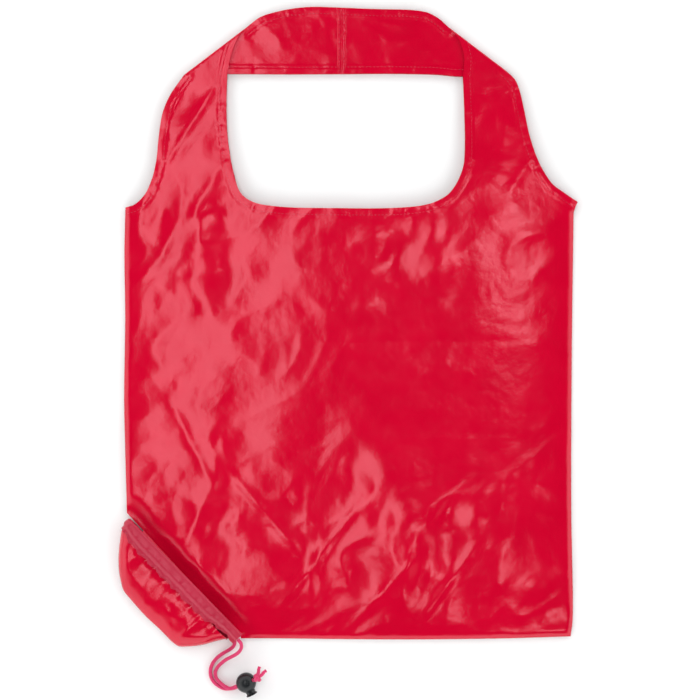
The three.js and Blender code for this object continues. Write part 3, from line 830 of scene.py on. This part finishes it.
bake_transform(cord_front)
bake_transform(cord_back)
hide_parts("drawcord_tail_front")
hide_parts("drawcord_tail_back")
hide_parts("drawcord_knot")
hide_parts("drawcord_end_left")
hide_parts("drawcord_end_right")
for piece in (cord_knot, *cord_ends):
    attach(piece, "bag")
for piece in (cord_front, cord_back, cord_knot, *cord_ends):
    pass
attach(lock_ball, "cord_lock")
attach(lock_coil, "cord_lock")
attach(lock_cap, "lock_button")
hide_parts("lock_barrel")
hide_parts("lock_spring")
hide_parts("lock_plunger")
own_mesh(lock_coil)
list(cord_ends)


# ---- body and straps
SEAMS = [np.vstack([BOTTOM, RIGHT_SIDE]), LEFT_SIDE]
SEAM_LEVEL, SEAM_REACH = 1.1, 5.0  # how low the cloth comes down to a seam, and from how far
RIM_LEVEL, RIM_REACH = 2.4, 16  # the same at the pouch's mouth
FREE_EDGES = [INNER_EDGE, LEFT_OUTER, RIGHT_OUTER]
STRAP_FOLDS = [
    (-153.3, 134.8, -107.5, 207.6, 0.8, 2.8),
    (128, 150, 118, 200, -0.4, 5.0),
    (135, 112, 160, 150, 0.7, 5.0),
]
STRAP_TILTS = [
    (-148, 192, 18, -0.13, 0.04),
    (-152, 150, 14, -0.1, 0.0),
    (-112, 150, 14, -0.06, 0.0),
    (120, 165, 16, 0.1, 0.0),
]


def front_surface(p):
    """Height of the middle of the front cloth, over the body and up the straps."""
    up = smooth(p[:, 1], 96, 150)
    lying = 1 - 0.75 * smooth(p[:, 1], 185, 212)
    z = front_height(p) + body_wrinkles(p) * (1 - 0.8 * up) + strap_wrinkles(p, 20) * up * lying
    z += (folds(p, STRAP_FOLDS) + tilts(p, STRAP_TILTS)) * lying
    for seam in SEAMS:
        z = round_down(z, to_line(p, seam)[0], SEAM_LEVEL, SEAM_REACH)
    z = RIM_LEVEL + (z - RIM_LEVEL) * smooth(to_line(p, spaced(MOUTH, 2))[0], 0, RIM_REACH)
    return z + hem_relief(p, FREE_EDGES, 31)


def back_surface(p):
    """Height of the middle of the back cloth, which lies on the floor under the front one."""
    z = BACK_BAND + (BACK_STRAP - BACK_BAND) * strap_share(p[:, 1])
    hems = np.maximum(0, hem_relief(p, FREE_EDGES, 31))
    return z + 0.06 * faceted(p[:, 0], p[:, 1], 40, 50) + 0.6 * hems


def laid(name, stretches, surface, hems=(), cell=2.2, step=1.7, flip=False, fold=None):
    """One layer of cloth as an open net, with extra rows of points along its hems and its fold."""
    rows = hem_rows(hems)
    if fold is not None:
        for away in (0.1, 0.25, 0.5, 0.8):
            rows += [beside(spaced(fold, 1.2), away), beside(spaced(fold, 1.2), -away)]
    p, faces = triangulated([spaced(line, step) for line in stretches], rows, cell)
    if flip:
        faces = [face[::-1] for face in faces]
    return new_object(name, np.column_stack([p, surface(p)]), faces, [red_nylon])


def welded(name, layers):
    """Layers that share a fold line, made into one folded cloth."""
    made = joined(name, layers)
    weld = made.modifiers.new("weld", "WELD")
    weld.merge_threshold = 0.004 * MM
    return applied(made)


def sewn_row(edge, outline):
    """The row of stitches inside a free edge, as far as it runs over this piece."""
    best = []
    for sign in (1, -1):
        row = spaced(beside(edge, sign * STITCH_IN), 1.0)
        row = row[inside(row, outline)]
        if len(row) > len(best):
            best = row
    return best


def with_stitches(cloth, stretches, surface, hems):
    outline = np.vstack([spaced(line, 2)[:-1] for line in stretches])
    rows = [row for row in (sewn_row(edge, outline) for edge in hems) if len(row) > 4]
    lift = CLOTH / 2 + 0.02
    thread_rows = stitches(cloth.name + "_thread", rows, lambda p: surface(p) + lift, thread)
    return joined(cloth.name, [cloth, thread_rows])


def make_front_cloth():
    stretches = [
        BOTTOM, RIGHT_SIDE, RIGHT_TIP, RIGHT_LOW, [RIGHT_LOW[-1], NECK_LOW[-1]], NECK_LOW[::-1],
        [NECK_LOW[0], LEFT_LOW[-1]], LEFT_LOW[::-1], LEFT_SIDE, MOUTH[:2], MOUTH[1:],
    ]
    made = thicken(laid("front_cloth", stretches, front_surface, FREE_EDGES))
    return lay_flat_uv(with_stitches(made, stretches, front_surface, FREE_EDGES))


BAND_SEAM = [(-5, 212.6), (-5, 268.1)]
BAND_FOLDS = [
    (-80, 262, -50, 232, 0.45, 4.0),
    (-70, 240, -20, 250, 0.35, 6.0),
    (10, 262, 45, 252, 0.5, 2.6),
    (20, 238, 60, 243, 0.45, 3.4),
]


def band_wrinkles(p, seed):
    x, y = p[:, 0], p[:, 1]
    free = 1 - 0.85 * smooth(np.abs(x), 78, 96)
    seam = np.abs(x - BAND_SEAM[0][0])
    z = 0.35 * roughly(x, y, 45, seed) + 0.3 * faceted(x, y, 30, seed + 1)
    z += 0.1 * faceted(x, y, 13, seed + 2) + folds(p, BAND_FOLDS)
    z += 0.38 * roughly(x * 0.4, y, 4.2, seed + 3) * np.exp(-seam / 6)
    return z * free - 0.35 * np.exp(-((seam / 1.2) ** 2))


def band_surface(level, lines, share=1.0, seed=60):
    def surface(p):
        return level + share * band_wrinkles(p, seed) + share * hem_relief(p, lines, seed + 9)

    return surface


def band_outline(side, fold, low, top):
    """Half of a handle's band, from its fold to the seam in its middle."""
    if side == "left":
        return [fold[::-1], low, [low[-1], top[0]], top]
    return [fold, top, [top[-1], low[0]], low]


def near_fold(surface, fold, middle):
    """A layer that turns over at its fold into the layer below or above it."""

    def rounded(p):
        return round_down(surface(p), to_line(p, np.array(fold, float))[0], middle, 0.9)

    return rounded


def make_front_handle(side, outer, neck, end, fold, low, top):
    """Half of the front handle: the strap, its slanting fold and half of the band under it."""
    middle = (FRONT_STRAP + FRONT_BAND) / 2
    strap = [outer, fold, end, neck, [neck[-1], outer[0]]]
    strap_top = near_fold(front_surface, fold, middle)
    band = band_outline(side, fold, low, top)
    band_low = near_fold(band_surface(FRONT_BAND, [low, top]), fold, middle)
    layers = [
        laid(f"front_handle_cloth_{side}", strap, strap_top, FREE_EDGES, fold=fold),
        laid(f"front_band_{side}", band, band_low, [low, top], 2.0, 1.7, True, fold),
    ]
    made = thicken(welded(f"front_handle_cloth_{side}", layers), sharp=70)
    made = with_stitches(made, strap, strap_top, FREE_EDGES)
    return lay_flat_uv(with_stitches(made, band, band_low, [low, top]))


def make_back_cloth():
    """Back panel, straps, folds and bands in one folded cloth."""
    middle = (BACK_STRAP + BACK_BAND) / 2
    body = [
        BOTTOM, RIGHT_SIDE, RIGHT_TIP, RIGHT_OUTER, RIGHT_FOLD, RIGHT_STRAP_END, NECK[::-1],
        LEFT_STRAP_END[::-1], LEFT_FOLD[::-1], LEFT_OUTER[::-1], LEFT_SIDE, MOUTH[:2], MOUTH[1:],
    ]

    def body_surface(p):
        return near_fold(near_fold(back_surface, LEFT_FOLD, middle), RIGHT_FOLD, middle)(p)

    layers = [laid("back_cloth", body, body_surface, (), 3.2, 1.7)]
    for side, fold, low, top in (
        ("left", LEFT_FOLD, LEFT_BAND_LOW, LEFT_BAND_TOP),
        ("right", RIGHT_FOLD, RIGHT_BAND_LOW, RIGHT_BAND_TOP),
    ):
        band = band_outline(side, fold, low, top)
        surface = near_fold(band_surface(BACK_BAND, [low, top], 0.15, 80), fold, middle)
        layers.append(laid(f"back_band_{side}", band, surface, (), 3.0, 1.7, True, fold))
    return lay_flat_uv(thicken(welded("back_cloth", layers), sharp=70))


def make_band_seam(name, level, share):
    """The sewn-down edges where the two halves of a band meet, drawn up by their stitches."""
    x0 = BAND_SEAM[0][0]
    ys = np.arange(213.2, 268.0, 0.7)
    offsets = np.array([-3.6, -3.3, -2.4, -1.2, -0.4, 0, 0.4, 1.2, 2.4, 3.3, 3.6])
    profile = np.array([0.0, 0.32, 0.42, 0.4, 0.22, 0.12, 0.22, 0.4, 0.42, 0.32, 0.0])
    points = []
    for y in ys:
        sway = 0.5 * noise.noise((0.3, y / 11, 2.5))
        for offset, lift in zip(offsets, profile):
            edge = 1 + 0.16 * noise.noise((math.copysign(2, offset), y / 3.2, 4.5))
            x = x0 + sway + offset * edge
            ripple = 0.3 * noise.noise((offset * 0.15, y / 2.6, 7.5)) * min(1, abs(offset))
            base = band_surface(level, [], share)(np.array([[x, y]]))[0]
            points.append((x, y, base + CLOTH / 2 + share * (lift + ripple) + 0.05))
    count = len(offsets)
    faces = [
        (i * count + j, i * count + j + 1, (i + 1) * count + j + 1, (i + 1) * count + j)
        for i in range(len(ys) - 1)
        for j in range(count - 1)
    ]
    made = thicken(new_object(name, points, faces, [red_nylon]), 0.2)
    rows = [np.array([(x0 + dx, y) for y in np.arange(214, 267.5, 1.0)]) for dx in (-1.9, 1.9)]
    surface = band_surface(level, [], share)
    lift = CLOTH / 2 + 0.05 + share * 0.42 + 0.14
    dashes = stitches(name + "_thread", rows, lambda p: surface(p) + lift, thread, 2.6)
    return lay_flat_uv(joined(name, [made, dashes]))


front_cloth = make_front_cloth()
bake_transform(front_cloth)
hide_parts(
    "front_panel", "front_strap_foot_left", "front_strap_foot_right",
    "side_seam_left", "side_seam_right", "bottom_seam",
)
back_cloth = make_back_cloth()
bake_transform(back_cloth)
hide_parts("back_panel", "back_handle_left", "back_handle_right")
handle_left = make_front_handle(
    "left", LEFT_HIGH, NECK_LEFT, LEFT_STRAP_END, LEFT_FOLD, LEFT_BAND_LOW, LEFT_BAND_TOP
)
handle_right = make_front_handle(
    "right", RIGHT_HIGH, NECK_RIGHT[::-1], RIGHT_STRAP_END, RIGHT_FOLD, RIGHT_BAND_LOW, RIGHT_BAND_TOP
)
for piece, node in ((handle_left, "front_handle_left"), (handle_right, "front_handle_right")):
    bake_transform(piece)
    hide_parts(node)
front_seam = make_band_seam("front_band_seam", FRONT_BAND, 1.0)
back_seam = make_band_seam("back_band_seam", BACK_BAND, 0.3)
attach(front_seam, "front_handle")
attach(back_seam, "back_handle")
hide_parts("front_handle_seam")
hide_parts("back_handle_seam")


# ---- pouch
CASING_HIGH = 4.5
FRONT_RUN, BACK_RUN = 12.15, 2.25
MOUTH_WIDTH, BACK_RUN_END = 136.0, 131.0
TURN_RADIUS = (FRONT_RUN - BACK_RUN) / 2  # of the casing's turn from its front run to its back run
TURN_AT = TURN_RADIUS + CASING_HIGH / 2
TURN_MIDDLE = (FRONT_RUN + BACK_RUN) / 2
FRONT_STARTS, BACK_STARTS = 9.5, 15.6  # depth at which the pouch's cloths start under the casing
POUCH_TOP = 11.0
GATHERS = 13.0  # between the scallops of the casing's seam
POUCH_EDGE = spline(
    [
        (-186.4, -166.1), (-189.6, -170.4), (-191.4, -179.5), (-192.8, -194), (-192.5, -204.5),
        (-190.9, -214.3), (-188.6, -222), (-183.5, -228.6), (-171.1, -242.6), (-157.8, -255.1),
        (-147.5, -265.5), (-142.5, -269), (-136, -269.4), (-122.3, -268), (-110.9, -264.8), (-97.7, -262),
    ]
)


def pouch_xy(along, depth):
    """From the pouch's own frame, along its mouth and away from the bag, to the bag's."""
    return MOUTH_START + np.multiply.outer(along, MOUTH_ALONG) + np.multiply.outer(depth, MOUTH_OUT)


def in_pouch(p):
    rel = p - MOUTH_START
    return rel @ MOUTH_ALONG, rel @ MOUTH_OUT


def gather(along):
    """The place of the gathers along the mouth, as an angle that grows unevenly."""
    drift = np.array([noise.noise((s / 21, 3.1, 0.7)) for s in np.ravel(along)]).reshape(np.shape(along))
    return 2 * math.pi * along / GATHERS + 2.4 * drift


def casing_width(along):
    """From the rim of the mouth to the loose edge past the stitches."""
    return 14.6 - 5.2 * (1 - smooth(along, -4, 22)) - 4.2 * smooth(along, 100, 122)


def make_casing():
    """The gathered tube round the mouth: front run, a turn at the upper end, and the back run."""
    front = [(x, FRONT_RUN) for x in np.linspace(MOUTH_WIDTH, TURN_AT, 150)]
    bend = [
        (TURN_AT - TURN_RADIUS * math.sin(t), TURN_MIDDLE + TURN_RADIUS * math.cos(t))
        for t in np.linspace(0, math.pi, 34)[1:-1]
    ]
    back = [(x, BACK_RUN) for x in np.linspace(TURN_AT, BACK_RUN_END, 110)]
    line = np.array(front + bend + back)
    ahead = np.gradient(line, axis=0)
    ahead /= np.linalg.norm(ahead, axis=1)[:, None]
    out = np.stack([-ahead[:, 1], ahead[:, 0]], axis=1) * -1
    ring = 56
    points = []
    for (x, z), (nx, nz) in zip(line, out):
        front_share = float(smooth(z, BACK_RUN, FRONT_RUN))
        width = float(casing_width(x))
        rim = 0.8 - front_share * (1.0 + 3.1 * x / MOUTH_WIDTH)
        phase = float(gather(x))
        scallop = 0.9 * math.sin(phase) + 0.35 * math.sin(2.3 * phase + 1)
        for k in range(ring):
            t = 2 * math.pi * k / ring
            share = (1 - math.cos(t)) / 2
            top = math.copysign(1, math.sin(t)) if 0 < k < ring and k != ring / 2 else 0
            bulge = math.sqrt(max(0, 1 - (1 - min(share / 0.2, 1)) ** 2))
            taper = 1 - 0.86 * float(smooth(share, 0.5, 0.84))
            ripple = 0.5 * math.sin(phase + 0.5 * share) + 0.22 * math.sin(2.3 * phase + 2 * share)
            ripple += 0.6 * noise.noise((x / 5, share * 2.5, top * 3))
            inner, loose = float(smooth(share, 0.1, 0.5)), float(smooth(share, 0.8, 1))
            puff = 0.3 * ripple * inner * (1 - 0.45 * loose)
            half = (CASING_HIGH / 2 - 0.12) * bulge * taper * math.sqrt(abs(math.sin(t))) ** 0.5
            depth = rim + share * width + scallop * float(smooth(share, 0.6, 1.0)) * front_share
            lift = top * half + puff * (0.35 + 0.65 * front_share)
            place = pouch_xy(np.array(x + nx * lift), np.array(depth))
            points.append((place[0], place[1], z + nz * lift))
    faces = ring_faces(len(line), ring, capped=False)
    return thicken(new_object("pouch_casing_cloth", points, faces, [casing_nylon]), 0.24, 70)


POUCH_FOLDS = [
    (-184, -186, -188, -216, 0.9, 2.6),
    (-176, -232, -150, -258, -0.6, 3.0),
    (-143, -262, -122, -244, 1.0, 2.2),
    (-140, -261, -108, -258, 0.8, 2.4),
    (-168, -214, -162, -236, 0.5, 3.5),
    (-150, -230, -146, -252, -0.5, 3.0),
]


def pouch_surface(p):
    along, depth = in_pouch(p)
    x, y = p[:, 0], p[:, 1]
    edge, _ = to_line(p, POUCH_EDGE)
    z = POUCH_TOP - 2.2 * smooth(depth, 22, 46) - 0.6 * smooth(depth, 13, 18)
    z += 0.42 * np.sin(gather(along)) * np.exp(-np.maximum(0, depth - 12) / 8)
    z += 0.16 * np.sin(2.3 * gather(along) + 1) * np.exp(-np.maximum(0, depth - 12) / 5)
    z += 0.9 * roughly(x, y, 44, 90) + 0.95 * faceted(x, y, 26, 91) + 0.12 * faceted(x, y, 10, 92)
    z += folds(p, POUCH_FOLDS)
    return round_down(np.maximum(z, 2.5), edge, 1.0, 11.0)


def pouch_part(near):
    """The pouch's outline beyond a line at some depth from the rim, as two stretches."""
    _, depth = in_pouch(POUCH_EDGE)
    kept = POUCH_EDGE[depth > near]
    return [kept, [kept[-1], kept[0]]]


def make_pouch_front():
    stretches = pouch_part(FRONT_STARTS)
    made = laid("pouch_front_cloth", stretches, pouch_surface, (), 1.7, 1.5)
    return lay_flat_uv(thicken(made))


def make_pouch_back():
    stretches = pouch_part(BACK_STARTS)

    def surface(p):
        return 0.45 + 0.05 * faceted(p[:, 0], p[:, 1], 30, 95)

    return lay_flat_uv(thicken(laid("pouch_back_cloth", stretches, surface, (), 2.6, 1.8)))


def make_tucked_corner():
    """The bag's corner, which comes in over the back of the mouth and lies in the pouch."""
    corner = [(16, -0.3), (40, 37), (96, 37), (126, -0.3)]
    points = [pouch_xy(np.array(a), np.array(d)) for a, d in corner]
    stretches = [[a, b] for a, b in zip(points, points[1:] + points[:1])]

    def surface(p):
        _, depth = in_pouch(p)
        inward = smooth(depth, CASING_HIGH * 3.8, 30)
        rise = smooth(depth, -0.4, 3.2)
        z = 2.5 + 2.9 * rise - 3.9 * inward
        return z + 0.35 * rise * roughly(p[:, 0], p[:, 1], 12, 97)

    return lay_flat_uv(thicken(laid("tucked_corner_cloth", stretches, surface, (), 2.0, 1.6)))


def make_cord_in_casing():
    points = []
    for i in range(10):
        along = MOUTH_WIDTH + (TURN_AT - MOUTH_WIDTH) * i / 9
        points.append((along, 2.5, FRONT_RUN))
    for i in range(1, 8):
        t = math.pi * i / 8
        along, z = TURN_AT - TURN_RADIUS * math.sin(t), TURN_MIDDLE + TURN_RADIUS * math.cos(t)
        points.append((along, 2.5 + 3.5 * i / 8, z))
    for i in range(10):
        along = TURN_AT + (BACK_RUN_END - TURN_AT) * i / 9
        points.append((along, 6.0, BACK_RUN))
    line = []
    for along, depth, z in spaced(spline(points, 12), 0.6):
        place = pouch_xy(np.array(along), np.array(depth))
        line.append((place[0], place[1], z))
    return new_object("cord_in_casing", *tube_mesh(np.array(line), 16, braid(CORD)), [cord_braid])


casing = lay_flat_uv(make_casing())
pouch_front = make_pouch_front()
pouch_back = make_pouch_back()
tucked = make_tucked_corner()
cord_inside = make_cord_in_casing()
for piece in (casing, pouch_front, pouch_back, cord_inside):
    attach(piece, "pouch")
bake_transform(tucked)
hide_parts("pouch_casing")
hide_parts("pouch_front")
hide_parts("pouch_back")
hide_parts("tucked_corner")
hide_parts("drawcord_in_casing")


# ---- light and floor
def make_stage():
    size, level = 6.0, -0.3 * MM  # metres; just under the cloth
    corners = [(x * size, y * size, level) for x, y in ((-1, -1), (1, -1), (1, 1), (-1, 1))]
    mesh = bpy.data.meshes.new("floor")
    mesh.from_pydata(corners, [], [(0, 1, 2, 3)])
    floor = bpy.data.objects.new("floor", mesh)
    bpy.context.scene.collection.objects.link(floor)
    material, nodes, links, shader = principled("floor_paper", Roughness=0.9, Specular_IOR_Level=0.1)
    where = coordinates(nodes, uv=False)
    tone = add_noise(nodes, links, where, 8.0, 2.0)
    pale = add_mix(nodes, links, tone, (0.9, 0.9, 0.9), (0.93, 0.93, 0.93))
    links.new(pale, shader.inputs["Base Color"])
    mesh.materials.append(material)

    world = bpy.data.worlds.new("studio")
    bpy.context.scene.world = world
    world.use_nodes = True
    nodes, links = world.node_tree.nodes, world.node_tree.links
    background = nodes["Background"]
    where = nodes.new("ShaderNodeTexCoord").outputs["Generated"]
    split = nodes.new("ShaderNodeSeparateXYZ")
    links.new(where, split.inputs[0])
    high = add_range(nodes, links, split.outputs["Z"], 0.58, 0.8, 0.0, 1.0)
    ring = add_mix(nodes, links, high, (1.0, 1.0, 1.0), (0.005, 0.005, 0.006))
    links.new(ring, background.inputs["Color"])
    background.inputs["Strength"].default_value = 2.0

    # the cloth's right side mirrors the two small boxes, near its top and its bottom
    for name, place, size, watts in (
        ("softbox_left", (-0.33, 0.03, 1.4), (0.34, 1.2), 4.9),
        ("softbox_right", (0.36, 0.17, 1.4), (0.16, 0.3), 0.95),
        ("softbox_low", (0.36, -0.47, 1.4), (0.16, 0.26), 0.7),
    ):
        light = bpy.data.lights.new(name, "AREA")
        light.shape = "RECTANGLE"
        light.size, light.size_y = size
        light.energy = watts
        box = bpy.data.objects.new(name, light)
        box.location = place
        box.visible_camera = False
        bpy.context.scene.collection.objects.link(box)
    bpy.context.scene.view_settings.view_transform = "Standard"


make_stage()
